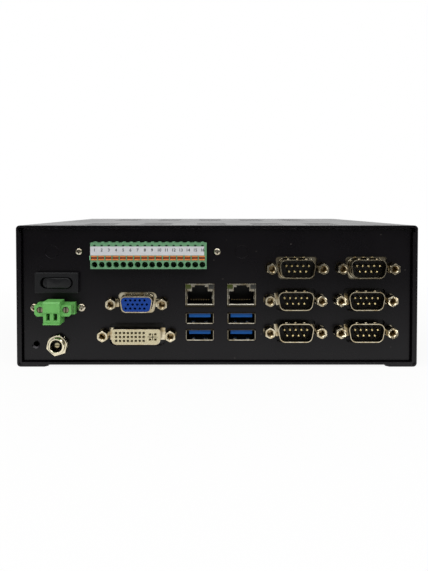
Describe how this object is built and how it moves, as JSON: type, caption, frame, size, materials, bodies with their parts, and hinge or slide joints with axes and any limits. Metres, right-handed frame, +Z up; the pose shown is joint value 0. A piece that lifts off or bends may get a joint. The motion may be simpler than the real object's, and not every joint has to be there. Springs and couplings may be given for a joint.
{
  "type": "fanless industrial pc",
  "caption": "Fanless computer in a low folded steel casing, with serial, video, network, USB, power and terminal connectors on one panel.",
  "frame": {"origin": "middle of the underside, under the casing and the plug that stands out of it", "axes": "+X to the right along the connector panel, +Y from the connector panel to the far side, +Z up"},
  "size_m": [0.1966, 0.18, 0.0695],
  "materials": {
    "casing_coat": "fine matt black powder coat",
    "black_screw": "blackened steel",
    "bright_steel": "bright plated steel",
    "warm_nickel": "bright tin-nickel plating with a warm tint",
    "black_moulding": "black glass-filled moulding",
    "gold_contact": "gold-plated contact",
    "blue_insert": "blue moulding",
    "cream_insert": "cream moulding",
    "light_window": "translucent light window",
    "usb_blue": "blue moulding",
    "green_moulding": "green terminal moulding",
    "marker_strip": "pale grey marker strip",
    "circuit_board": "green solder mask",
    "spacer_brass": "nickelled brass",
    "chip": "dark package",
    "sink_aluminium": "extruded aluminium",
    "orange_button": "orange moulding"
  },
  "bodies": {
    "computer": {"top_cover": "casing_coat", "base_tray": "casing_coat", "io_panel": "casing_coat", "front_panel": "casing_coat", "casing_screws": "black_screw", "mount_inserts": "bright_steel", "panel_screws": "bright_steel", "jackscrews": "warm_nickel", "serial_shells": "warm_nickel", "serial_bodies": "black_moulding", "serial_pins": "gold_contact", "vga_shell": "warm_nickel", "vga_insert": "blue_insert", "dvi_shell": "warm_nickel", "dvi_insert": "cream_insert", "video_body": "black_moulding", "port_shields": "warm_nickel", "port_bodies": "black_moulding", "lan_contacts": "gold_contact", "lan_lights": "light_window", "usb_tongues": "usb_blue", "terminal_header": "green_moulding", "terminal_plug": "green_moulding", "marker_strip": "marker_strip", "power_header": "green_moulding", "power_plug": "green_moulding", "power_plug_screws": "bright_steel", "dc_jack_barrel": "warm_nickel", "dc_jack_insulator": "black_moulding", "dc_jack_pin": "warm_nickel", "dc_jack_nut": "warm_nickel", "dc_jack_washer": "warm_nickel", "switch_housing": "black_moulding", "mainboard": "circuit_board", "serial_board": "circuit_board", "terminal_board": "circuit_board", "board_spacers": "spacer_brass", "board_screws": "bright_steel", "processor": "chip", "heat_sink": "sink_aluminium", "board_sockets": "black_moulding", "memory_module": "circuit_board", "storage_card": "circuit_board"},
    "rocker": {"switch_rocker": "black_moulding"},
    "button_01": {"release_button_01": "orange_button"},
    "button_02": {"release_button_02": "orange_button"},
    "button_03": {"release_button_03": "orange_button"},
    "button_04": {"release_button_04": "orange_button"},
    "button_05": {"release_button_05": "orange_button"},
    "button_06": {"release_button_06": "orange_button"},
    "button_07": {"release_button_07": "orange_button"},
    "button_08": {"release_button_08": "orange_button"},
    "button_09": {"release_button_09": "orange_button"},
    "button_10": {"release_button_10": "orange_button"},
    "button_11": {"release_button_11": "orange_button"},
    "button_12": {"release_button_12": "orange_button"},
    "button_13": {"release_button_13": "orange_button"},
    "button_14": {"release_button_14": "orange_button"},
    "button_15": {"release_button_15": "orange_button"},
    "button_16": {"release_button_16": "orange_button"}
  },
  "joints": [
    {"name": "rocker_tilt", "type": "hinge", "parent": "computer", "child": "rocker", "pos_m": [-0.07845, -0.07775, 0.0414], "axis": [0, 0, 1], "range_deg": [0, 12]},
    {"name": "button_01_press", "type": "slide", "parent": "computer", "child": "button_01", "axis": [0, 1, 0], "range_m": [0, 0.0012], "stiffness_N_per_m": 300, "springref_m": -0.0005},
    {"name": "button_02_press", "type": "slide", "parent": "computer", "child": "button_02", "axis": [0, 1, 0], "range_m": [0, 0.0012], "stiffness_N_per_m": 300, "springref_m": -0.0005},
    {"name": "button_03_press", "type": "slide", "parent": "computer", "child": "button_03", "axis": [0, 1, 0], "range_m": [0, 0.0012], "stiffness_N_per_m": 300, "springref_m": -0.0005},
    {"name": "button_04_press", "type": "slide", "parent": "computer", "child": "button_04", "axis": [0, 1, 0], "range_m": [0, 0.0012], "stiffness_N_per_m": 300, "springref_m": -0.0005},
    {"name": "button_05_press", "type": "slide", "parent": "computer", "child": "button_05", "axis": [0, 1, 0], "range_m": [0, 0.0012], "stiffness_N_per_m": 300, "springref_m": -0.0005},
    {"name": "button_06_press", "type": "slide", "parent": "computer", "child": "button_06", "axis": [0, 1, 0], "range_m": [0, 0.0012], "stiffness_N_per_m": 300, "springref_m": -0.0005},
    {"name": "button_07_press", "type": "slide", "parent": "computer", "child": "button_07", "axis": [0, 1, 0], "range_m": [0, 0.0012], "stiffness_N_per_m": 300, "springref_m": -0.0005},
    {"name": "button_08_press", "type": "slide", "parent": "computer", "child": "button_08", "axis": [0, 1, 0], "range_m": [0, 0.0012], "stiffness_N_per_m": 300, "springref_m": -0.0005},
    {"name": "button_09_press", "type": "slide", "parent": "computer", "child": "button_09", "axis": [0, 1, 0], "range_m": [0, 0.0012], "stiffness_N_per_m": 300, "springref_m": -0.0005},
    {"name": "button_10_press", "type": "slide", "parent": "computer", "child": "button_10", "axis": [0, 1, 0], "range_m": [0, 0.0012], "stiffness_N_per_m": 300, "springref_m": -0.0005},
    {"name": "button_11_press", "type": "slide", "parent": "computer", "child": "button_11", "axis": [0, 1, 0], "range_m": [0, 0.0012], "stiffness_N_per_m": 300, "springref_m": -0.0005},
    {"name": "button_12_press", "type": "slide", "parent": "computer", "child": "button_12", "axis": [0, 1, 0], "range_m": [0, 0.0012], "stiffness_N_per_m": 300, "springref_m": -0.0005},
    {"name": "button_13_press", "type": "slide", "parent": "computer", "child": "button_13", "axis": [0, 1, 0], "range_m": [0, 0.0012], "stiffness_N_per_m": 300, "springref_m": -0.0005},
    {"name": "button_14_press", "type": "slide", "parent": "computer", "child": "button_14", "axis": [0, 1, 0], "range_m": [0, 0.0012], "stiffness_N_per_m": 300, "springref_m": -0.0005},
    {"name": "button_15_press", "type": "slide", "parent": "computer", "child": "button_15", "axis": [0, 1, 0], "range_m": [0, 0.0012], "stiffness_N_per_m": 300, "springref_m": -0.0005},
    {"name": "button_16_press", "type": "slide", "parent": "computer", "child": "button_16", "axis": [0, 1, 0], "range_m": [0, 0.0012], "stiffness_N_per_m": 300, "springref_m": -0.0005}
  ]
}
